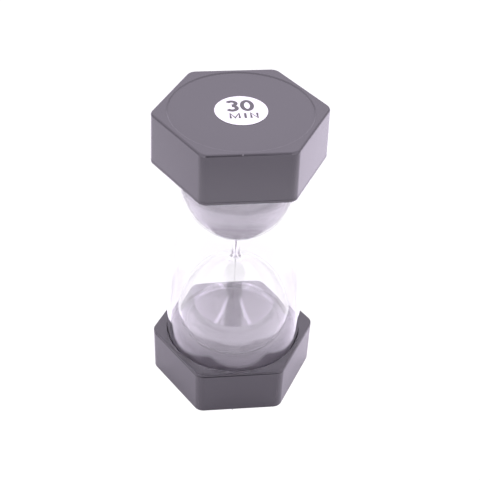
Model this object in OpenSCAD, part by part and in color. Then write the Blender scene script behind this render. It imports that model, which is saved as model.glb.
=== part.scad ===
// Sand timer: a sealed pair of glass bulbs in a clear tube between two hexagonal caps.
// Origin: centre of the face it stands on. +Z is up. Millimetres.

/* [Overall] */
// Height from one outer face to the other
total_h = 160; // [156:1:170]
// Height of the middle of the glass neck above the face it stands on
neck_z = 81; // [80:0.5:82]

/* [Caps] */
// Distance across the flats of a cap, at the tube end
cap_flats = 73.9; // [73.5:0.1:76]
// How much smaller the flats are at the outer face, for mould draft
cap_draft = 0.7; // [0:0.1:1]
// Height of a cap shell, without its closing plate
cap_h = 25; // [24:0.5:28]
// Radius of the upright corners
corner_r = 5.2; // [4.5:0.1:6]
// Size of the rounding round the outer face
edge_r = 1.2; // [0.6:0.1:1.6]
// Thickness of the cap's side walls
cap_wall = 1.3; // [1.1:0.1:1.3]
// Thickness of the cap's end wall
cap_floor = 2.7; // [2:0.1:3]
// Radius of the shallow round recess in the outer face
recess_r = 34; // [30:0.5:34]
// Depth of that recess
recess_depth = 0.5; // [0.4:0.1:0.8]
// Thickness of the closing plate round the tube
plate_t = 1.5; // [1:0.1:2]

/* [Tube] */
// Outside radius of the clear tube
tube_r = 34.7; // [34:0.1:34.8]
// Wall thickness of the clear tube
tube_wall = 1.5; // [1:0.1:2]

/* [Glass] */
// Radius of the long arc from the neck towards the widest part
shoulder_r = 36.6; // [36:0.1:38]
// Distance of that arc's centre beyond the axis
shoulder_c = 7.2; // [7:0.1:8]
// Distance of that arc's centre from the middle of the neck, along the axis
shoulder_d = 44; // [43:0.5:45]
// Distance from the middle of the neck at which the round belly begins
belly_start = 35; // [33:0.5:37]
// Radius of the round belly and end
belly_r = 19.5; // [18.5:0.1:20]
// Wall thickness of the bulbs
glass_t = 0.9; // [0.8:0.1:1.5]
// Outside radius of the neck
neck_r = 1.9; // [1.6:0.1:3]
// Radius of the channel through the neck
channel_r = 0.5; // [0.4:0.05:1]

/* [Sand] */
// Height of the sand in the upper bulb, at the glass
upper_level = 121; // [110:1:130]
// How far the upper sand dips in the middle
upper_dip = 5; // [0:1:8]
// Height of the sand in the lower bulb, at the glass
lower_level = 31; // [28:0.5:45]
// How far the lower heap rises in the middle
heap_rise = 5; // [0:1:8]

/* [Label] */
// Radius of the round duration label
label_r = 12.4; // [10:0.1:14]
// Thickness of the label
label_t = 0.25; // [0.1:0.05:0.3]

/* [Hidden] */

black = [0.05, 0.05, 0.055];
clear = [0.9, 0.93, 0.95, 0.25];
grey_sand = [0.35, 0.34, 0.36];
white = [0.95, 0.95, 0.95];
foam = [0.2, 0.2, 0.21];

gap = 0.05;                          // clearance between pieces that only touch
sliver = 0.01;                       // thickness of the outlines that the cap hulls span
corner_fn = 36;                      // a facet edge falls where each corner meets its flats
round_fn = 96;
arc_steps = 22;

end_flats = cap_flats - cap_draft;
seat_h = 3.5;                        // height of the ring that the tube stands on
seat_w = 4.5;
tube_end = cap_floor + seat_h;       // distance from an outer face to the tube's end
peg_r = 1.9;                         // pegs that centre a closing plate in its cap
peg_h = 5;
peg_ring = 37.2;
pad_r = tube_r - seat_w - 0.4;       // foam seat inside the ring that the tube stands on
pad_top = 22.5;                      // distance from an outer face to the top of a foam seat
plug_hole_r = 8;                     // clears the filler plug
ring_low = 22.8;                     // foam rings that keep the bulbs central
ring_high = 25.3;
plug_r = 4;
plug_head_r = 5.5;
plug_head_t = 1.2;
neck_half = 1;                       // half of the neck's straight stretch
channel_half = 2.5;                  // half of the channel's straight stretch
flank_start_r = 5;                   // outside radius at which the long arc takes over from the neck
neck_steps = 8;
stream_r = 0.2;

arc_c = -shoulder_c;
cavity_r = shoulder_r - glass_t;     // the long arc on the inside of the glass
slope = asin((shoulder_d - belly_start) / shoulder_r);
belly_c = arc_c + (shoulder_r - belly_r) * cos(slope);
belly_d = belly_start + belly_r * sin(slope);
bulb_len = belly_d + belly_r;        // distance from the middle of the neck to the end of a bulb

// Distance from the neck's middle at which an arc of radius rho has the radius r
function arc_start(rho, r) = shoulder_d - sqrt(rho * rho - (r - arc_c) * (r - arc_c));

// Points [r, d] of the hollow curve from a straight stretch of radius r0 and half-length d0 to the arc at r1
function neck_curve(rho, r0, d0, r1) =
    let (d1 = arc_start(rho, r1), turn = d1 - (r1 - r0) * (r1 - arc_c) / (shoulder_d - d1))
    [for (i = [0 : neck_steps - 1]) let (t = i / neck_steps, s = 1 - t)
        [r0 + t * t * (r1 - r0), s * s * d0 + 2 * s * t * turn + t * t * d1]];

// Points [r, d] of a bulb wall from the radius r0 to the belly
function flank(rho, r0) =
    let (d0 = arc_start(rho, r0), a0 = acos((shoulder_d - d0) / rho), a1 = 90 - slope)
    [for (i = [0 : arc_steps]) let (a = a0 + (a1 - a0) * i / arc_steps)
        [arc_c + rho * sin(a), shoulder_d - rho * cos(a)]];

// Points of the belly, from the end of the flank to the end of a bulb
function belly(rho) =
    [for (i = [1 : arc_steps]) let (a = slope - (90 + slope) * i / arc_steps)
        [belly_c + rho * cos(a), belly_d - rho * sin(a)]];

// Half of the glass outside, from the neck's middle to a bulb's end
function outside_half() = concat(
    [[neck_r, 0]],
    neck_curve(shoulder_r, neck_r, neck_half, flank_start_r),
    flank(shoulder_r, flank_start_r),
    belly(belly_r),
    [[0, bulb_len]]);

// Half of the hollow inside, made smaller all round by shrink
function cavity_half(shrink) = concat(
    neck_curve(cavity_r - shrink, channel_r - shrink, channel_half, flank_start_r - glass_t - shrink),
    flank(cavity_r - shrink, flank_start_r - glass_t - shrink),
    belly(belly_r - glass_t - shrink));

function below(points) = [for (p = points) [p[0], -p[1]]];
function reversed(points) = [for (i = [len(points) - 1 : -1 : 0]) points[i]];

// Six-cornered solid with rounded corners; levels are [height, inset of the outline]
module hex_solid(flats, corner, levels) {
    hull()
        for (level = levels)
            for (k = [0 : 5])
                rotate(60 * k)
                    translate([(flats / 2 - corner) / cos(30), 0, level[0]])
                        cylinder(r = corner - level[1], h = sliver, $fn = corner_fn);
}

// Cap shell standing on its outer face, open upwards
module cap_shell() {
    inset = cap_draft / 2;
    difference() {
        hex_solid(cap_flats, corner_r, [
            [0, inset + edge_r],
            [edge_r * 0.3, inset + edge_r * 0.3],
            [edge_r, inset],
            [cap_h - sliver, 0]]);
        hex_solid(cap_flats - 2 * cap_wall, corner_r - cap_wall, [
            [cap_floor, inset],
            [cap_h, 0]]);
        translate([0, 0, -1])
            cylinder(r = recess_r, h = recess_depth + 1, $fn = round_fn);
    }
    // Ring that the tube stands on
    translate([0, 0, cap_floor - sliver])
        difference() {
            cylinder(r = tube_r, h = seat_h + sliver, $fn = round_fn);
            translate([0, 0, -1])
                cylinder(r = tube_r - seat_w, h = seat_h + 2, $fn = round_fn);
        }
}

// Plate that closes a cap round the tube, with six pegs into the cap's corners
module closing_plate() {
    translate([0, 0, cap_h + gap / 2])
        difference() {
            hex_solid(cap_flats, corner_r, [[0, 0], [plate_t - 0.3, 0], [plate_t - sliver, 0.3]]);
            translate([0, 0, -1])
                cylinder(r = tube_r + gap, h = plate_t + 2, $fn = round_fn);
        }
    for (k = [0 : 5])
        rotate(60 * k)
            translate([peg_ring, 0, cap_h - peg_h])
                cylinder(r = peg_r, h = peg_h + plate_t / 2, $fn = 24);
}

// Puts a piece made for the bottom end at the top end
module at_top() {
    translate([0, 0, total_h])
        mirror([0, 0, 1])
            children();
}

module bottom_cap() {
    color(black) cap_shell();
}

module top_cap() {
    color(black) at_top() cap_shell();
}

module bottom_plate() {
    color(black) closing_plate();
}

module top_plate() {
    color(black) at_top() closing_plate();
}

module outer_tube() {
    color(clear)
        translate([0, 0, tube_end])
            difference() {
                cylinder(r = tube_r, h = total_h - 2 * tube_end, $fn = round_fn);
                translate([0, 0, -1])
                    cylinder(r = tube_r - tube_wall, h = total_h, $fn = round_fn);
            }
}

// One blown piece: two bulbs, the neck between them and the filling hole at the lower end
module glass_bulbs() {
    color(clear)
        translate([0, 0, neck_z])
            rotate_extrude($fn = round_fn)
                polygon(concat(
                    below(reversed(cut_hole(outside_half()))),
                    outside_half(),
                    [[0, bulb_len - glass_t]],
                    reversed(cavity_half(0)),
                    below(cavity_half(0)),
                    [[plug_r, -(bulb_len - glass_t)]]));
}

// Ends the lower outline at the filling hole instead of on the axis
function cut_hole(points) = [for (p = points) p[0] > 0 ? p : [plug_r, p[1]]];

module filler_plug() {
    end_z = neck_z - bulb_len;
    color(foam) {
        translate([0, 0, end_z - plug_head_t])
            cylinder(r = plug_head_r, h = plug_head_t, $fn = 48);
        translate([0, 0, end_z - plug_head_t])
            cylinder(r = plug_r - gap, h = plug_head_t + glass_t, $fn = 48);
    }
}

// Sand that has not run yet: the shape of the glass, with a dip where it drains
module sand_upper() {
    level = upper_level - neck_z;
    wall = [for (p = cavity_half(gap)) if (p[1] < level) p];
    color(grey_sand)
        translate([0, 0, neck_z])
            rotate_extrude($fn = round_fn)
                polygon(concat(
                    [[0, wall[0][1]]],
                    wall,
                    [[wall[len(wall) - 1][0], level], [0, level - upper_dip]]));
}

// Sand in the neck's channel, and the thread that falls from it to the heap
module sand_stream() {
    channel_top = channel_half - gap;
    heap_top = lower_level + heap_rise - neck_z;
    color(grey_sand)
        translate([0, 0, neck_z])
            rotate_extrude($fn = 24)
                polygon([
                    [0, heap_top + gap],
                    [stream_r, heap_top + gap],
                    [stream_r, -7],
                    [channel_r - 3 * gap, -channel_half],
                    [channel_r - 3 * gap, channel_top],
                    [0, channel_top]]);
}

// Sand that has run through: the shape of the glass, heaped in the middle
module sand_lower() {
    level = neck_z - lower_level;
    wall = [for (p = cavity_half(gap)) if (p[1] > level) p];
    color(grey_sand)
        translate([0, 0, neck_z])
            rotate_extrude($fn = round_fn)
                polygon(concat(
                    [[0, heap_rise - level], [wall[0][0], -level]],
                    below(wall),
                    [[0, -wall[len(wall) - 1][1]]]));
}

// Foam support whose inside follows the end of a bulb; far is the distance from the neck to its cap's face
module foam_support(outer_r, low, high, far) {
    seat = [for (i = [0 : 12]) let (z = high + (low - high) * i / 12, d = far - z - belly_d)
        [max(plug_hole_r, d < belly_r ? belly_c + sqrt(belly_r * belly_r - d * d) + gap : 0), z]];
    rotate_extrude($fn = round_fn)
        polygon(concat([[outer_r, low], [outer_r, high]], seat));
}

module bottom_pad() {
    color(foam) foam_support(pad_r, cap_floor, pad_top, neck_z);
}

module top_pad() {
    color(foam) at_top() foam_support(pad_r, cap_floor, pad_top, total_h - neck_z);
}

module bottom_ring() {
    color(foam) foam_support(tube_r - tube_wall - gap, ring_low, ring_high, neck_z);
}

module top_ring() {
    color(foam) at_top() foam_support(tube_r - tube_wall - gap, ring_low, ring_high, total_h - neck_z);
}

module label() {
    translate([0, 0, recess_depth - label_t])
        cylinder(r = label_r, h = label_t, $fn = round_fn);
}

module bottom_label() {
    color(white) label();
}

module top_label() {
    color(white) at_top() label();
}

bottom_cap();
top_cap();
bottom_plate();
top_plate();
outer_tube();
glass_bulbs();
filler_plug();
sand_upper();
sand_stream();
sand_lower();
bottom_pad();
top_pad();
bottom_ring();
top_ring();
bottom_label();
top_label();
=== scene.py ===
"""Sealed sand timer: glass bulbs in a clear tube between two hexagonal black caps."""

import math

import bmesh
import bpy
from mathutils import Matrix, Quaternion, Vector


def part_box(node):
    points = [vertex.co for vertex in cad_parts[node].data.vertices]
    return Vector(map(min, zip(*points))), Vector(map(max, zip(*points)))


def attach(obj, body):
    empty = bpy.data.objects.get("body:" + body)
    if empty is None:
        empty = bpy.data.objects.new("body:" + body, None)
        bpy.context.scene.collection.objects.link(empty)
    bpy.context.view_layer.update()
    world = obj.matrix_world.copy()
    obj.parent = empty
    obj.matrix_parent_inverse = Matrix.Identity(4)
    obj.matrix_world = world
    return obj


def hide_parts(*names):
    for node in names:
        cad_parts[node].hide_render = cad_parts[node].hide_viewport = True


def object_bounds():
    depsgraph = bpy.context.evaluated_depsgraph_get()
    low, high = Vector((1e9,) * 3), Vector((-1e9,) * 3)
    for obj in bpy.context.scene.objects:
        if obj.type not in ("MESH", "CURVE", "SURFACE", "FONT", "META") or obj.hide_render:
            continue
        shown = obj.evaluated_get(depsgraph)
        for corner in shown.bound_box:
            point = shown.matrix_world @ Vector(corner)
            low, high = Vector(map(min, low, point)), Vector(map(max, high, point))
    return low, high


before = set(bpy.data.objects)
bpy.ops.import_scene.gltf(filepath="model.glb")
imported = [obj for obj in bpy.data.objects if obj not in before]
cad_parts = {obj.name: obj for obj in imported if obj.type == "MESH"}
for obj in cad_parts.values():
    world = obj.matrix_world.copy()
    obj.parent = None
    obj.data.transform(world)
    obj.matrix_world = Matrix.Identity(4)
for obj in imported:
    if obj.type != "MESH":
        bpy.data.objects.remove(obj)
cad_box = [list(corner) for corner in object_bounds()]

MM = 0.001

# ---------------------------------------------------------------- sizes
# Overall heights and widths come from the CAD nodes' boxes. The others repeat the CAD's own values,
# which the boxes don't hold, or are small details of the surfaces.
_, cap_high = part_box("bottom_cap")
_, plate_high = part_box("bottom_plate")
tube_low, tube_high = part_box("outer_tube")
glass_low, glass_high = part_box("glass_bulbs")
label_low, label_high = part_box("top_label")

TOTAL_H = cad_box[1][2]
GAP = 0.05 * MM  # clearance between pieces that only touch

CAP_H = cap_high.z
CAP_APOTHEM = cap_high.y
CAP_DRAFT = 0.35 * MM
CAP_WALL = 1.3 * MM
CAP_FLOOR = 2.7 * MM
CORNER_R = 5.2 * MM
CORNER_STEPS = 10
CORNER_INSET = 0.7  # how much a corner's radius shrinks where the outline moves in by 1
EDGE_R = 1.2 * MM
RECESS_R = 34.6 * MM
STEP_W = 1.0 * MM
RECESS_DEPTH = 0.5 * MM
PLATE_TOP = plate_high.z
# The seam between a cap shell and its plate, and the plate's edge roundings. Each pair holds the
# lower and the upper cap's value. The shell's rim is rounded by the width of the seam.
SEAM_W = (0.4 * MM, 0.1 * MM)
PLATE_SEAM_R = (0.3 * MM, 0.08 * MM)
PLATE_RIM_R = (0.55 * MM, 0.3 * MM)
HOLE_GAP = 0.12 * MM
HOLE_CHAMFER = 0.25 * MM
GATE_R = 0.42 * MM
GATE_H = 0.24 * MM
GATE_X = -3.2 * MM

TUBE_R = tube_high.x
TUBE_WALL = 1.5 * MM
TUBE_EDGE = 0.2 * MM

GLASS_T = 0.9 * MM
NECK_Z = (glass_high.z + glass_low.z) / 2
# A bulb's outer outline is an arc of radius SHOULDER_R, whose centre is at the radius SHOULDER_C and
# the distance SHOULDER_D from the neck's middle. From the distance BELLY_START on it is an arc of
# radius BELLY_R. A hollow curve joins it to the straight neck at the radius FLANK_START_R.
SHOULDER_R = 36.6 * MM
SHOULDER_C = -7.2 * MM
SHOULDER_D = 44.0 * MM
BELLY_START = 35.0 * MM
BELLY_R = 19.5 * MM
NECK_R = 1.9 * MM
NECK_HALF = 1.0 * MM
CHANNEL_R = 0.5 * MM
CHANNEL_HALF = 2.5 * MM
FLANK_START_R = 5.0 * MM

UPPER_LEVEL = 121 * MM
UPPER_DIP = 5 * MM
LOWER_LEVEL = 31 * MM
HEAP_RISE = 5 * MM
SURFACE_STEPS = 24

FOAM_HOLE_R = 8 * MM
FOAM_EDGE_R = 0.8 * MM
FOAM_LIP = 0.3 * MM
SEAT_R = 29.8 * MM
SEAT_TOP = 22.5 * MM
RING_R = 33.15 * MM
RING_LOW = 22.8 * MM
RING_HIGH = 25.3 * MM

PLUG_R = 4.0 * MM
PLUG_HEAD_R = 5.5 * MM
PLUG_HEAD_T = 1.2 * MM
PLUG_RIB = 0.08 * MM

LABEL_R = label_high.x
LABEL_T = label_high.z - label_low.z
LABEL_EDGE_R = 0.09 * MM
INK_T = 0.02 * MM
INK_SINK = 0.001 * MM
INK_STEP = 0.05  # share of the ink's thickness by which each stroke is lower than the one before
MITRE_LIMIT = 0.75

ENDS = (("bottom", False), ("top", True))


# ---------------------------------------------------------------- helpers
def mesh_object(name, bm, smooth=True):
    """New object from the bmesh, with its faces turned outwards."""
    bmesh.ops.recalc_face_normals(bm, faces=bm.faces)
    mesh = bpy.data.meshes.new(name)
    bm.to_mesh(mesh)
    bm.free()
    for polygon in mesh.polygons:
        polygon.use_smooth = smooth
    obj = bpy.data.objects.new(name, mesh)
    bpy.context.scene.collection.objects.link(obj)
    return obj


def round_rings(bm, profile, steps):
    """One ring of vertices round Z for each point (r, z); a point on the axis is a single vertex."""
    rings = []
    for r, z in profile:
        if r <= 0:
            rings.append([bm.verts.new((0, 0, z))])
        else:
            rings.append([bm.verts.new((r * math.cos(a), r * math.sin(a), z))
                          for a in (2 * math.pi * k / steps for k in range(steps))])
    return rings


def join_rings(bm, rings, steps):
    """Faces between each ring and the next."""
    for low, high in zip(rings, rings[1:]):
        for k in range(steps):
            j = (k + 1) % steps
            corners = [low[k % len(low)], low[j % len(low)], high[j % len(high)], high[k % len(high)]]
            unique = list(dict.fromkeys(corners))
            if len(unique) > 2:
                bm.faces.new(unique)


def revolve(name, profile, steps=192):
    """Closed surface of revolution about Z from the points (r, z); points with r = 0 close it."""
    bm = bmesh.new()
    rings = round_rings(bm, profile, steps)
    join_rings(bm, rings, steps)
    if len(rings[0]) > 1 or len(rings[-1]) > 1:
        join_rings(bm, [rings[-1], rings[0]], steps)
    return mesh_object(name, bm)


def arc(cx, cy, r, a0, a1, steps):
    """Points of an arc, angles in degrees."""
    angles = [math.radians(a0 + (a1 - a0) * i / steps) for i in range(steps + 1)]
    return [(cx + r * math.cos(a), cy + r * math.sin(a)) for a in angles]


def crisp(obj):
    """Lets the large flat faces set the shading of the rounded edges beside them."""
    modifier = obj.modifiers.new("crisp", "WEIGHTED_NORMAL")
    modifier.weight = 100
    modifier.keep_sharp = True
    return obj


def finish_piece(obj, node, material):
    """The piece stands for one CAD node, rides on the one body and gets its material."""
    obj.data.materials.clear()
    obj.data.materials.append(material)
    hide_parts(node)
    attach(obj, "root")
    return obj


# ---------------------------------------------------------------- materials
def principled(name, colour, roughness):
    """New material; returns it with its node tree and its shader."""
    material = bpy.data.materials.new(name)
    material.use_nodes = True
    shader = material.node_tree.nodes["Principled BSDF"]
    shader.inputs["Base Color"].default_value = (*colour, 1)
    shader.inputs["Roughness"].default_value = roughness
    return material, material.node_tree, shader


def cap_material():
    """Glossy black moulded plastic with a faint orange-peel surface and uneven polish."""
    material, tree, shader = principled("cap_plastic", (0.022, 0.021, 0.023), 0.16)
    shader.inputs["IOR"].default_value = 1.5
    coords = tree.nodes.new("ShaderNodeTexCoord")
    fine = tree.nodes.new("ShaderNodeTexNoise")
    fine.inputs["Scale"].default_value = 900
    fine.inputs["Detail"].default_value = 3
    broad = tree.nodes.new("ShaderNodeTexNoise")
    broad.inputs["Scale"].default_value = 60
    broad.inputs["Detail"].default_value = 4
    rough = tree.nodes.new("ShaderNodeMapRange")
    rough.inputs["To Min"].default_value = 0.13
    rough.inputs["To Max"].default_value = 0.2
    bump = tree.nodes.new("ShaderNodeBump")
    bump.inputs["Strength"].default_value = 0.05
    bump.inputs["Distance"].default_value = 0.0001
    link = tree.links.new
    link(coords.outputs["Object"], fine.inputs["Vector"])
    link(coords.outputs["Object"], broad.inputs["Vector"])
    link(broad.outputs["Fac"], rough.inputs["Value"])
    link(rough.outputs["Result"], shader.inputs["Roughness"])
    link(fine.outputs["Fac"], bump.inputs["Height"])
    link(bump.outputs["Normal"], shader.inputs["Normal"])
    return material


def clear_material(name, ior, colour):
    """Clear smooth glass or plastic."""
    material, _, shader = principled(name, colour, 0.0)
    shader.inputs["Transmission Weight"].default_value = 1
    shader.inputs["IOR"].default_value = ior
    return material


def sand_material():
    """Fine dark grey sand: tiny grains of mixed brightness with a rough surface."""
    material, tree, shader = principled("sand", (0.1, 0.09, 0.1), 0.85)
    coords = tree.nodes.new("ShaderNodeTexCoord")
    grains = tree.nodes.new("ShaderNodeTexVoronoi")
    grains.inputs["Scale"].default_value = 2500
    drift = tree.nodes.new("ShaderNodeTexNoise")
    drift.inputs["Scale"].default_value = 140
    drift.inputs["Detail"].default_value = 5
    ramp = tree.nodes.new("ShaderNodeValToRGB")
    ramp.color_ramp.elements[0].color = (0.15, 0.145, 0.149, 1)
    ramp.color_ramp.elements[1].color = (0.38, 0.368, 0.375, 1)
    mix = tree.nodes.new("ShaderNodeMix")
    mix.data_type = "RGBA"
    mix.blend_type = "MULTIPLY"
    mix.inputs["Factor"].default_value = 0.55
    bump = tree.nodes.new("ShaderNodeBump")
    bump.inputs["Strength"].default_value = 0.5
    bump.inputs["Distance"].default_value = 0.0003
    link = tree.links.new
    link(coords.outputs["Object"], grains.inputs["Vector"])
    link(coords.outputs["Object"], drift.inputs["Vector"])
    link(grains.outputs["Color"], ramp.inputs["Fac"])
    link(ramp.outputs["Color"], mix.inputs["A"])
    link(drift.outputs["Fac"], mix.inputs["B"])
    link(mix.outputs["Result"], shader.inputs["Base Color"])
    link(grains.outputs["Distance"], bump.inputs["Height"])
    link(bump.outputs["Normal"], shader.inputs["Normal"])
    return material


def plain_material(name, colour, roughness, scale):
    """Matt material with a slightly mottled surface."""
    material, tree, shader = principled(name, colour, roughness)
    coords = tree.nodes.new("ShaderNodeTexCoord")
    noise = tree.nodes.new("ShaderNodeTexNoise")
    noise.inputs["Scale"].default_value = scale
    bump = tree.nodes.new("ShaderNodeBump")
    bump.inputs["Strength"].default_value = 0.2
    bump.inputs["Distance"].default_value = 0.0001
    tree.links.new(coords.outputs["Object"], noise.inputs["Vector"])
    tree.links.new(noise.outputs["Fac"], bump.inputs["Height"])
    tree.links.new(bump.outputs["Normal"], shader.inputs["Normal"])
    return material


black_plastic = cap_material()
clear_plastic = clear_material("clear_plastic", 1.57, (0.985, 0.985, 0.99))
bulb_glass = clear_material("bulb_glass", 1.5, (1, 1, 1))
sand = sand_material()
foam = plain_material("foam", (0.16, 0.15, 0.165), 0.9, 1500)
rubber = plain_material("plug_rubber", (0.04, 0.04, 0.04), 0.6, 800)
gate_scar = plain_material("gate_scar", (0.07, 0.068, 0.07), 0.6, 3000)
paper = plain_material("label_paper", (0.5, 0.5, 0.5), 0.45, 1200)
ink = plain_material("label_ink", (0.04, 0.037, 0.04), 0.5, 1200)


# ---------------------------------------------------------------- caps
def hex_outline(apothem, corner, steps=12):
    """Rounded hexagon with a corner on +X, as points (x, y)."""
    points = []
    reach = (apothem - corner) / math.cos(math.radians(30))
    for k in range(6):
        cx = reach * math.cos(math.radians(60 * k))
        cy = reach * math.sin(math.radians(60 * k))
        points += arc(cx, cy, corner, 60 * k - 30, 60 * k + 30, steps)
    return points


def resample(points, per_side=6):
    """Adds points along the flats between the rounded corners."""
    out = []
    longest = max((Vector(b) - Vector(a)).length for a, b in zip(points, points[1:] + points[:1]))
    for a, b in zip(points, points[1:] + points[:1]):
        out.append(a)
        if (Vector(b) - Vector(a)).length > longest * 0.8:
            out += [tuple(Vector(a).lerp(Vector(b), i / per_side)) for i in range(1, per_side)]
    return out


def ring_of(bm, points, z):
    """Ring of vertices at the points (x, y)."""
    return [bm.verts.new((x, y, z)) for x, y in points]


def directions_to(points):
    """Unit vectors from the axis to the points (x, y)."""
    return [Vector(p).normalized() for p in points]


def circle(bm, directions, r, z):
    """Ring of vertices on a circle, one in each direction."""
    return ring_of(bm, [(r * d.x, r * d.y) for d in directions], z)


def bridge(bm, low, high):
    """Faces between two rings that have the same number of vertices."""
    n = len(low)
    for k in range(n):
        j = (k + 1) % n
        bm.faces.new((low[k], low[j], high[j], high[k]))


def inset_outline(apothem, inset):
    """Outline of a cap moved in by inset."""
    return resample(hex_outline(apothem - inset, CORNER_R - inset * CORNER_INSET, CORNER_STEPS))


def turn_over(verts):
    """Moves a piece from the lower end to the upper one."""
    for v in verts:
        v.co.z = TOTAL_H - v.co.z


def cap_shell(name, at_top):
    """Cap shell as a drafted cup with a rounded outer edge and a shallow round recess."""
    bm = bmesh.new()
    rim_r = SEAM_W[at_top]

    def outline(z, inset):
        return inset_outline(CAP_APOTHEM - CAP_DRAFT * (1 - z / CAP_H), inset)

    directions = directions_to(outline(0, EDGE_R))
    rings = []
    # recess: centre, floor and a soft step up to the face
    centre = bm.verts.new((0, 0, RECESS_DEPTH))
    for r in (12 * MM, 24 * MM):
        rings.append(circle(bm, directions, r, RECESS_DEPTH))
    for i in range(11):
        t = i / 10
        z = RECESS_DEPTH * (1 - t * t * (3 - 2 * t))
        rings.append(circle(bm, directions, RECESS_R - STEP_W * (1 - t), z))
    # rounded outer edge
    for i in range(9):
        a = math.radians(90 * i / 8)
        z = EDGE_R * (1 - math.cos(a))
        inset = EDGE_R * (1 - math.sin(a))
        rings.append(ring_of(bm, outline(z, inset), z))
    # drafted side, rim and inside
    for z in (CAP_H * 0.35, CAP_H * 0.7, CAP_H - rim_r):
        rings.append(ring_of(bm, outline(z, 0), z))
    rings.append(ring_of(bm, outline(CAP_H, rim_r * 0.3), CAP_H - rim_r * 0.3))
    rings.append(ring_of(bm, outline(CAP_H, rim_r), CAP_H))
    for z in (CAP_H, CAP_H / 2, CAP_FLOOR):
        rings.append(ring_of(bm, outline(z, CAP_WALL), z))
    for low, high in zip(rings, rings[1:]):
        bridge(bm, low, high)
    inner_centre = bm.verts.new((0, 0, CAP_FLOOR))
    for k in range(len(directions)):
        j = (k + 1) % len(directions)
        bm.faces.new((centre, rings[0][j], rings[0][k]))
        bm.faces.new((inner_centre, rings[-1][k], rings[-1][j]))
    if at_top:
        turn_over(bm.verts)
    return mesh_object(name, bm)


def closing_plate(name, at_top):
    """Hexagonal plate with a rounded rim and a round hole for the tube."""
    bm = bmesh.new()
    low = CAP_H + SEAM_W[at_top]
    seam_r = PLATE_SEAM_R[at_top]
    rim_r = PLATE_RIM_R[at_top]
    hole_r = TUBE_R + HOLE_GAP

    def outline(inset):
        return inset_outline(CAP_APOTHEM, inset)

    directions = directions_to(outline(0))
    rings = [circle(bm, directions, hole_r, low), ring_of(bm, outline(seam_r), low)]
    for i in range(1, 5):
        a = math.radians(90 * i / 4)
        z = low + seam_r * (1 - math.cos(a))
        rings.append(ring_of(bm, outline(seam_r * (1 - math.sin(a))), z))
    for i in range(6):
        a = math.radians(90 * i / 5)
        z = PLATE_TOP - rim_r * (1 - math.sin(a))
        rings.append(ring_of(bm, outline(rim_r * (1 - math.cos(a))), z))
    rings.append(circle(bm, directions, hole_r + HOLE_CHAMFER, PLATE_TOP))
    rings.append(circle(bm, directions, hole_r, PLATE_TOP - HOLE_CHAMFER))
    rings.append(rings[0])
    for a, b in zip(rings, rings[1:]):
        bridge(bm, a, b)
    if at_top:
        turn_over(bm.verts)
    return mesh_object(name, bm)


for end, at_top in ENDS:
    shell = crisp(cap_shell(end + "_cap_shell", at_top))
    finish_piece(shell, end + "_cap", black_plastic)
    plate = crisp(closing_plate(end + "_closing_plate", at_top))
    finish_piece(plate, end + "_plate", black_plastic)


def gate_mark(name, at_top):
    """Small matt scar that the mould's gate leaves near the middle of the edge of one flat."""
    middle = EDGE_R * (1 - math.sin(math.radians(45)))
    obj = revolve(name, [(GATE_R * math.cos(a), GATE_H * math.sin(a))
                         for a in (math.pi / 12 * i - math.pi / 2 for i in range(13))], 24)
    place = Vector((GATE_X, -(CAP_APOTHEM - CAP_DRAFT - middle), middle))
    turn = Quaternion((1, 0, 0), math.radians(135))
    for v in obj.data.vertices:
        v.co = turn @ v.co + place
    if at_top:
        turn_over(obj.data.vertices)
    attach(obj, "root")
    obj.data.materials.append(gate_scar)


for end, at_top in ENDS:
    gate_mark(end + "_gate_mark", at_top)


# ---------------------------------------------------------------- tube and glass
def tube():
    """Clear tube with chamfered ends."""
    r0, r1 = TUBE_R - TUBE_WALL, TUBE_R
    z0, z1 = tube_low.z, tube_high.z
    e = TUBE_EDGE
    profile = [(r0, z0 + e), (r0 + e, z0), (r1 - e, z0), (r1, z0 + e),
               (r1, z1 - e), (r1 - e, z1), (r0 + e, z1), (r0, z1 - e)]
    return revolve("clear_tube", profile, 256)


# The belly carries on from the long arc without a kink.
SLOPE = math.asin((SHOULDER_D - BELLY_START) / SHOULDER_R)
BELLY_C = SHOULDER_C + (SHOULDER_R - BELLY_R) * math.cos(SLOPE)
BELLY_D = BELLY_START + BELLY_R * math.sin(SLOPE)


def arc_start(rho, r):
    """Distance from the neck's middle at which the arc of radius rho has the radius r."""
    return SHOULDER_D - math.sqrt(rho * rho - (r - SHOULDER_C) ** 2)


def neck_curve(rho, r0, d0, r1, steps=16):
    """(r, d) from a straight stretch of radius r0 and half-length d0 to the arc at the radius r1."""
    d1 = arc_start(rho, r1)
    turn = d1 - (r1 - r0) * (r1 - SHOULDER_C) / (SHOULDER_D - d1)
    points = []
    for t in (i / steps for i in range(steps)):
        points.append((r0 + t * t * (r1 - r0), (1 - t) ** 2 * d0 + 2 * t * (1 - t) * turn + t * t * d1))
    return points


def flank(rho, r0, steps=48):
    """(r, d) along the long arc of a bulb wall, d from the middle of the neck."""
    a0 = math.acos((SHOULDER_D - arc_start(rho, r0)) / rho)
    a1 = math.pi / 2 - SLOPE
    angles = [a0 + (a1 - a0) * i / steps for i in range(steps + 1)]
    return [(SHOULDER_C + rho * math.sin(a), SHOULDER_D - rho * math.cos(a)) for a in angles]


def belly(rho, last_r, steps=40):
    """(r, d) round the belly and across the flat end of a bulb, to the radius last_r."""
    turn = math.pi / 2 + SLOPE
    angles = [SLOPE - turn * i / steps for i in range(1, steps + 1)]
    points = [(BELLY_C + rho * math.cos(a), BELLY_D - rho * math.sin(a)) for a in angles]
    return points + [(last_r, BELLY_D + rho)]


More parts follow.
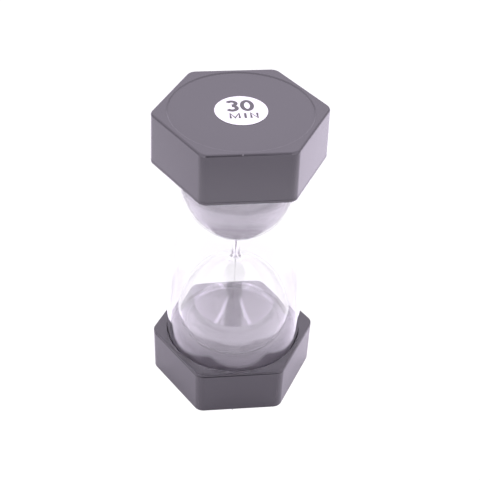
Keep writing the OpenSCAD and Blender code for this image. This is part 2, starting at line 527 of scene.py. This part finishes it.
def outside_half(last_r):
    """Outer outline of one bulb: neck, hollow curve, long arc and belly."""
    return ([(NECK_R, 0)] + neck_curve(SHOULDER_R, NECK_R, NECK_HALF, FLANK_START_R)
            + flank(SHOULDER_R, FLANK_START_R) + belly(BELLY_R, last_r))


def inside_half(shrink=0.0, last_r=0.0):
    """Outline of the hollow in one bulb, made smaller all round by shrink."""
    rho = SHOULDER_R - GLASS_T - shrink
    r1 = FLANK_START_R - GLASS_T - shrink
    return (neck_curve(rho, CHANNEL_R - shrink, CHANNEL_HALF, r1) + flank(rho, r1)
            + belly(BELLY_R - GLASS_T - shrink, last_r))


def at_height(points, direction):
    """The (r, d) points as (r, z), upwards or downwards from the neck."""
    return [(0.0 if r < 1e-7 else r, NECK_Z + direction * d) for r, d in points]


def glass():
    """One blown piece: two bulbs, the neck and the filling hole at the lower pole."""
    outer = at_height(reversed(outside_half(PLUG_R)[1:]), -1) + at_height(outside_half(0.0), 1)
    inner = at_height(reversed(inside_half()), 1) + at_height(inside_half(0.0, PLUG_R), -1)
    bm = bmesh.new()
    steps = 256
    outer = round_rings(bm, outer, steps)
    inner = round_rings(bm, inner, steps)
    for group in (outer, inner, [inner[-1], outer[0]]):
        join_rings(bm, group, steps)
    return mesh_object("glass_vessel", bm)


finish_piece(crisp(tube()), "outer_tube", clear_plastic)
finish_piece(glass(), "glass_bulbs", bulb_glass)


# ---------------------------------------------------------------- sand
def wall_radius(wall, level):
    """Radius of the wall outline at the distance level from the neck."""
    for (r0, d0), (r1, d1) in zip(wall, wall[1:]):
        if d0 <= level <= d1:
            return r0 + (r1 - r0) * (level - d0) / (d1 - d0)
    return wall[-1][0]


def sand_upper():
    """Sand that has not run yet: it follows the glass and dips where it drains."""
    level = UPPER_LEVEL - NECK_Z
    hollow = inside_half(GAP)
    r_top = wall_radius(hollow, level)
    wall = [p for p in hollow if p[1] < level]
    inwards = [i / SURFACE_STEPS for i in range(SURFACE_STEPS + 1)]
    surface = [(r_top * (1 - t), level - UPPER_DIP * t) for t in inwards]
    profile = [(0, NECK_Z + wall[0][1])] + [(r, NECK_Z + d) for r, d in wall + surface]
    return revolve("upper_sand", profile)


def sand_lower():
    """Sand that has run through: it follows the glass and is heaped in the middle."""
    level = NECK_Z - LOWER_LEVEL
    hollow = inside_half(GAP)
    r_top = wall_radius(hollow, level)
    wall = [p for p in hollow if p[1] > level]
    outwards = [i / SURFACE_STEPS for i in range(SURFACE_STEPS + 1)]
    surface = [(r_top * t, level - HEAP_RISE + HEAP_RISE * t) for t in outwards]
    profile = [(r, NECK_Z - d) for r, d in surface + wall]
    return revolve("lower_sand", profile)


def sand_stream():
    """Sand that fills the neck's channel, and the thread that falls from it on to the heap."""
    low = LOWER_LEVEL + HEAP_RISE + GAP
    top = NECK_Z + CHANNEL_HALF - GAP
    wide = CHANNEL_R - GAP
    # the thread narrows as it falls
    profile = [(0, low), (0.05 * MM, low), (0.07 * MM, NECK_Z - 16 * MM), (0.1 * MM, NECK_Z - 6 * MM),
               (0.13 * MM, NECK_Z - CHANNEL_HALF), (wide, NECK_Z - CHANNEL_HALF / 2),
               (wide, top), (0, top)]
    return revolve("sand_thread", profile, 24)


finish_piece(sand_upper(), "sand_upper", sand)
finish_piece(sand_lower(), "sand_lower", sand)
finish_piece(sand_stream(), "sand_stream", sand)


# ---------------------------------------------------------------- foam supports and plug
def foam_profile(outer_r, low, high, far):
    """Outline of a foam support whose seat follows the end of a bulb; far is the neck's distance."""
    edge = FOAM_EDGE_R
    side = arc(outer_r - edge, low + edge, edge, -90, 0, 4)
    side += arc(outer_r - edge, high - edge, edge, 0, 90, 4)
    seat = []
    for i in range(13):
        z = high + (low - high) * i / 12
        d = far - z - BELLY_D
        reach = BELLY_C + math.sqrt(BELLY_R ** 2 - d * d) + 2 * GAP if d < BELLY_R else 0
        seat.append((max(FOAM_HOLE_R, reach), z))
    seat[0] = (seat[0][0] + FOAM_LIP, high)
    return side + seat


def foam_piece(name, node, outer_r, low, high, at_top):
    """Foam support of the lower bulb, or the same one turned over for the upper bulb."""
    profile = foam_profile(outer_r, low, high, TOTAL_H - NECK_Z if at_top else NECK_Z)
    if at_top:
        profile = [(r, TOTAL_H - z) for r, z in profile]
    obj = finish_piece(revolve(name, profile), node, foam)


for end, at_top in ENDS:
    foam_piece(end + "_foam_seat", end + "_pad", SEAT_R, CAP_FLOOR, SEAT_TOP, at_top)
    foam_piece(end + "_foam_ring", end + "_ring", RING_R, RING_LOW, RING_HIGH, at_top)


def filler_plug():
    """Rubber bung: ribbed stem in the filling hole and a rounded head outside the glass."""
    glass_end = glass_low.z
    low = glass_end - PLUG_HEAD_T
    profile = [(0, low), (PLUG_HEAD_R * 0.6, low + 0.08 * MM)]
    profile += arc(PLUG_HEAD_R - 0.5 * MM, low + 0.6 * MM, 0.5 * MM, -90, 90, 8)
    profile.append((PLUG_R - GAP, glass_end - 2 * GAP))
    for i in range(13):
        z = glass_end + GLASS_T * i / 12
        profile.append((PLUG_R - 2 * GAP - PLUG_RIB * (1 - math.cos(math.pi * i / 2)), z))
    profile += [(PLUG_R * 0.6, glass_end + GLASS_T), (0, glass_end + GLASS_T - 0.1 * MM)]
    return revolve("rubber_bung", profile, 64)


finish_piece(filler_plug(), "filler_plug", rubber)


# ---------------------------------------------------------------- duration labels
def ellipse(cx, cy, rx, ry, a0, a1, steps=24):
    """Points of an ellipse's arc, angles in degrees."""
    return [(cx + rx * math.cos(a), cy + ry * math.sin(a))
            for a in (math.radians(a0 + (a1 - a0) * i / steps) for i in range(steps + 1))]


def glyph_strokes():
    """Centre lines of "30" over "MIN" in millimetres from the label's middle, each with its width."""
    bold, light = 1.9, 1.15
    low, high = -6.7, -2.5
    return [
        (ellipse(-3.95, 6.05, 2.0, 1.75, 155, -90), bold),
        (ellipse(-3.95, 1.95, 2.15, 1.95, 90, -155), bold),
        (ellipse(3.1, 3.95, 2.3, 3.85, 0, 360, 48), bold),
        ([(-5.4, low), (-5.4, high), (-3.35, low + 0.5), (-1.3, high), (-1.3, low)], light),
        ([(1.45, low), (1.45, high)], light),
        ([(4.1, low), (4.1, high), (7.0, low), (7.0, high)], light)]


def ribbon(bm, points, width, height):
    """Flat stroke of even width along the points, with mitred corners."""
    points = [Vector(p) * MM for p in points]
    closed = (points[0] - points[-1]).length < 1e-7
    last = len(points) - 1
    sides = []
    for i, p in enumerate(points):
        before = points[i - 1] if i > 0 else points[last - 1] if closed else None
        after = points[i + 1] if i < last else points[1] if closed else None
        ahead = (after - p).normalized() if after else (p - before).normalized()
        behind = (p - before).normalized() if before else ahead
        along = (ahead + behind).normalized()
        across = Vector((-along.y, along.x)) * (width * MM / 2 / max(MITRE_LIMIT, along.dot(ahead)))
        sides.append((p + across, p - across))
    rings = [[bm.verts.new((q.x, q.y, z)) for q, z in
              ((left, 0), (right, 0), (right, height), (left, height))] for left, right in sides]
    for a, b in zip(rings, rings[1:]):
        for k in range(4):
            bm.faces.new((a[k], a[(k + 1) % 4], b[(k + 1) % 4], b[k]))
    if not closed:
        bm.faces.new(rings[0])
        bm.faces.new(rings[-1])


def duration_label(name, node, at_top):
    """Round paper label with a softened edge and its print as thin ink on top."""
    edge = LABEL_EDGE_R
    profile = [(0, 0), (LABEL_R, 0)] + arc(LABEL_R - edge, LABEL_T - INK_T - edge, edge, 0, 90, 4)
    profile.append((0, LABEL_T - INK_T))
    label = finish_piece(revolve(name, profile, 128), node, paper)
    label.data.materials.append(ink)
    bm = bmesh.new()
    bm.from_mesh(label.data)
    paper_faces = len(bm.faces)
    for number, (points, width) in enumerate(glyph_strokes()):
        # strokes that cross differ a little in height
        ribbon(bm, points, width, INK_T * (1 - INK_STEP * number))
    bm.faces.ensure_lookup_table()
    printed = {v for face in bm.faces[paper_faces:] for v in face.verts}
    for v in printed:
        v.co.z += LABEL_T - INK_T - INK_SINK
    for face in bm.faces[paper_faces:]:
        face.material_index = 1
        face.smooth = False
    base = TOTAL_H - RECESS_DEPTH
    for v in bm.verts:
        v.co.z += base
        if not at_top:
            v.co.y, v.co.z = -v.co.y, TOTAL_H - v.co.z
    bmesh.ops.recalc_face_normals(bm, faces=bm.faces)
    bm.to_mesh(label.data)
    bm.free()
    crisp(label)


duration_label("top_duration_label", "top_label", True)
duration_label("bottom_duration_label", "bottom_label", False)

# ---------------------------------------------------------------- stage, light and camera
CAMERA_AZIMUTH = math.radians(7.47)
CAMERA_ELEVATION = math.radians(38.71)
CAMERA_ROLL = math.radians(-2.2446)
CAMERA_DISTANCE = 0.5722
CAMERA_LENS = 85.5
# how far the camera looks past the timer's middle, in radians
AIM_SIDEWAYS = -0.0034
AIM_UP = 0.00528

WHITE = (1.03, 0.94, 1.12)
GLOW_WHITE = (1, 0.99, 1)
# colour of the painted glows on the table
PAINTED_GLOW_WHITE = (0.98, 0.95, 1.03)
ROOM_STRENGTH = 2.66
BACKDROP_STRENGTH = 1.1
SEEN_THROUGH_STRENGTH = 0.965

# Bands are (low, high, soft edge). Side and depth are horizontal, across and along the camera's view,
# and depth grows away from the camera. On the table they are metres from the timer's axis. In the room
# they and the height are parts of a direction of length 1.
TABLE_HALF = 6
# painted shade: the table's colour in front of the timer, darker than further back
TABLE_PAINTED_SHADE = 0.76
TABLE_WHITE = 0.95
TABLE_TURN = (-0.1, 0.2)
# painted pool of light: a glowing patch of the table in front of the timer
POOL_REACH = (0.074, 0.26, 0.008)
POOL_DEPTH = (-0.3, -0.03, 0.03)
PAINTED_POOL_STRENGTH = 0.65
# painted glow: the table glows in a band from near the camera outwards
NEAR_CAMERA = (-9, -0.4, 0.1)
PAINTED_GLOW_NEAR_CAMERA_STRENGTH = 0.8
BEHIND_TIMER = 0.03
PERSON_SIDE = (-0.23, 0.25, 0.1)
PERSON_HEIGHT = (-0.2, 0.87, 0.08)
PERSON_DARKNESS = 0.95
LAMP_SPREAD = (0.33, 0.39, 0.05)
LAMP_HEIGHT = (-0.05, 0.7, 0.08)
LAMP_LEAN = 0.45
LAMP_MIDDLE = 0.45
LAMP_STRENGTH = 1.2
WALL_TURN = (0.47, 0.56)
WALL_LOW = 0.62
WALL_HIGH = 0.98


def math_node(tree, operation, a, b=None, clamp=False):
    """Math node on sockets or numbers; returns its output."""
    node = tree.nodes.new("ShaderNodeMath")
    node.operation = operation
    node.use_clamp = clamp
    for socket, value in zip(node.inputs, (a, b)):
        if isinstance(value, (int, float)):
            socket.default_value = value
        elif value is not None:
            tree.links.new(value, socket)
    return node.outputs[0]


def times(tree, *factors):
    """Product of sockets or numbers, taken in order."""
    product = factors[0]
    for factor in factors[1:]:
        product = math_node(tree, "MULTIPLY", product, factor)
    return product


def soft_band(tree, value, band):
    """1 inside the band, falling to 0 over its soft edge on either side."""
    low, high, soft = band
    rise = math_node(tree, "DIVIDE", math_node(tree, "SUBTRACT", value, low - soft), soft, clamp=True)
    fall = math_node(tree, "DIVIDE", math_node(tree, "SUBTRACT", high + soft, value), soft, clamp=True)
    return times(tree, rise, fall)


def ramp_between(tree, value, turn, low, high):
    """low below the first value of turn, high above the second, and straight in between."""
    node = tree.nodes.new("ShaderNodeMapRange")
    node.inputs["From Min"].default_value = turn[0]
    node.inputs["From Max"].default_value = turn[1]
    node.inputs["To Min"].default_value = low
    node.inputs["To Max"].default_value = high
    tree.links.new(value, node.inputs["Value"])
    return node.outputs["Result"]


def seen_from_camera(tree, vector):
    """Side, depth and height of the vector, with the camera's azimuth turned out."""
    turn = tree.nodes.new("ShaderNodeVectorRotate")
    turn.rotation_type = "Z_AXIS"
    turn.inputs["Angle"].default_value = CAMERA_AZIMUTH
    parts = tree.nodes.new("ShaderNodeSeparateXYZ")
    tree.links.new(vector, turn.inputs["Vector"])
    tree.links.new(turn.outputs["Vector"], parts.inputs[0])
    return parts.outputs


def white_backdrop(tree, plain_shader, glow_type, output, behind=0.0):
    """The camera sees plain white, also straight through the glass; other rays see the plain shader.

    Where behind is 1, that also holds for what the glass mirrors from inside the tube.
    """
    path = tree.nodes.new("ShaderNodeLightPath")
    link = tree.links.new
    from_camera = path.outputs["Is Camera Ray"]
    no_diffuse = math_node(tree, "LESS_THAN", path.outputs["Diffuse Depth"], 0.5)
    no_glossy = math_node(tree, "LESS_THAN", path.outputs["Glossy Depth"], 0.5)
    straight = times(tree, no_diffuse, no_glossy, path.outputs["Is Transmission Ray"])
    inside = math_node(tree, "GREATER_THAN", path.outputs["Transmission Depth"], 0.5)
    mirrored = times(tree, inside, no_diffuse, behind)
    seen = math_node(tree, "MAXIMUM", straight, from_camera)
    seen = math_node(tree, "MAXIMUM", seen, mirrored)
    glow = tree.nodes.new(glow_type)
    glow.inputs["Color"].default_value = (*GLOW_WHITE, 1)
    strength = times(tree, from_camera, BACKDROP_STRENGTH - SEEN_THROUGH_STRENGTH)
    link(math_node(tree, "ADD", strength, SEEN_THROUGH_STRENGTH), glow.inputs["Strength"])
    mix = tree.nodes.new("ShaderNodeMixShader")
    link(seen, mix.inputs["Fac"])
    link(plain_shader, mix.inputs[1])
    link(glow.outputs[0], mix.inputs[2])
    link(mix.outputs[0], output.inputs["Surface"])


def stage_floor():
    """White table with painted light: painted shade dims it in front of the timer but for a painted
    pool of light, and a painted glow makes it bright again near the camera.
    """
    bm = bmesh.new()
    bmesh.ops.create_grid(bm, x_segments=1, y_segments=1, size=TABLE_HALF)
    floor = mesh_object("floor", bm, smooth=False)
    material, tree, shader = principled("floor_white", (0.8, 0.8, 0.8), 0.8)
    link = tree.links.new
    coords = tree.nodes.new("ShaderNodeTexCoord")
    depth = seen_from_camera(tree, coords.outputs["Object"])["Y"]
    # painted shade: the table's colour ramps from darker in front of the timer to white behind it
    link(ramp_between(tree, depth, TABLE_TURN, TABLE_PAINTED_SHADE, TABLE_WHITE), shader.inputs["Base Color"])
    # painted pool of light: the table glows in front of the timer, and the tube mirrors it
    away = tree.nodes.new("ShaderNodeVectorMath")
    away.operation = "LENGTH"
    link(coords.outputs["Object"], away.inputs[0])
    painted_pool = times(tree, soft_band(tree, away.outputs["Value"], POOL_REACH),
                 soft_band(tree, depth, POOL_DEPTH))
    # painted glow: the table also glows near the camera
    painted_glow_near_camera = soft_band(tree, depth, NEAR_CAMERA)
    glow = math_node(tree, "ADD", times(tree, painted_pool, PAINTED_POOL_STRENGTH),
                     times(tree, painted_glow_near_camera, PAINTED_GLOW_NEAR_CAMERA_STRENGTH))
    # colour of both painted glows on the table
    shader.inputs["Emission Color"].default_value = (*PAINTED_GLOW_WHITE, 1)
    link(glow, shader.inputs["Emission Strength"])
    behind = math_node(tree, "GREATER_THAN", depth, BEHIND_TIMER)
    white_backdrop(tree, shader.outputs[0], "ShaderNodeEmission", tree.nodes["Material Output"], behind)
    floor.data.materials.append(material)


def studio_light():
    """White room, darker where the photographer stands, with a bright lamp on either side."""
    world = bpy.data.worlds.new("studio")
    bpy.context.scene.world = world
    world.use_nodes = True
    tree = world.node_tree
    background = tree.nodes["Background"]
    coords = tree.nodes.new("ShaderNodeTexCoord")
    side, depth, height = seen_from_camera(tree, coords.outputs["Generated"])
    in_front = math_node(tree, "LESS_THAN", depth, 0)
    person = times(tree, soft_band(tree, side, PERSON_SIDE),
                   soft_band(tree, height, PERSON_HEIGHT), in_front)
    strength = math_node(tree, "SUBTRACT", 1, times(tree, person, PERSON_DARKNESS))
    # the two lamps lean apart towards the table
    lean = times(tree, math_node(tree, "SUBTRACT", LAMP_MIDDLE, height), LAMP_LEAN)
    spread = math_node(tree, "SUBTRACT", math_node(tree, "ABSOLUTE", side), lean)
    lamp = times(tree, soft_band(tree, spread, LAMP_SPREAD),
                 soft_band(tree, height, LAMP_HEIGHT), in_front)
    strength = math_node(tree, "ADD", strength, times(tree, lamp, LAMP_STRENGTH))
    # the far wall is dimmer low down
    wall = ramp_between(tree, height, WALL_TURN, WALL_LOW, WALL_HIGH)
    strength = times(tree, strength, math_node(tree, "MAXIMUM", wall, in_front), ROOM_STRENGTH)
    background.inputs["Color"].default_value = (*WHITE, 1)
    tree.links.new(strength, background.inputs["Strength"])
    white_backdrop(tree, background.outputs[0], "ShaderNodeBackground", tree.nodes["World Output"])


def studio_camera():
    """Camera above and a little to one side of the timer's front flat."""
    back = Vector((-math.sin(CAMERA_AZIMUTH) * math.cos(CAMERA_ELEVATION),
                   -math.cos(CAMERA_AZIMUTH) * math.cos(CAMERA_ELEVATION),
                   math.sin(CAMERA_ELEVATION)))
    place = Vector((0, 0, TOTAL_H / 2)) + back * CAMERA_DISTANCE
    right = Vector((math.cos(CAMERA_AZIMUTH), -math.sin(CAMERA_AZIMUTH), 0))
    up = right.cross(-back)
    aim = Quaternion(up, AIM_SIDEWAYS) @ Quaternion(right, AIM_UP)
    forward, right = aim @ -back, aim @ right
    right = Quaternion(forward, CAMERA_ROLL) @ right
    up = right.cross(forward)
    data = bpy.data.cameras.new("camera")
    data.sensor_width = 36
    data.lens = CAMERA_LENS
    data.clip_start = 0.01
    camera = bpy.data.objects.new("camera", data)
    bpy.context.scene.collection.objects.link(camera)
    camera.matrix_world = Matrix((
        (right.x, up.x, -forward.x, place.x),
        (right.y, up.y, -forward.y, place.y),
        (right.z, up.z, -forward.z, place.z),
        (0, 0, 0, 1)))
    bpy.context.scene.camera = camera


stage_floor()
studio_light()
studio_camera()
bpy.context.scene.view_settings.view_transform = "Standard"
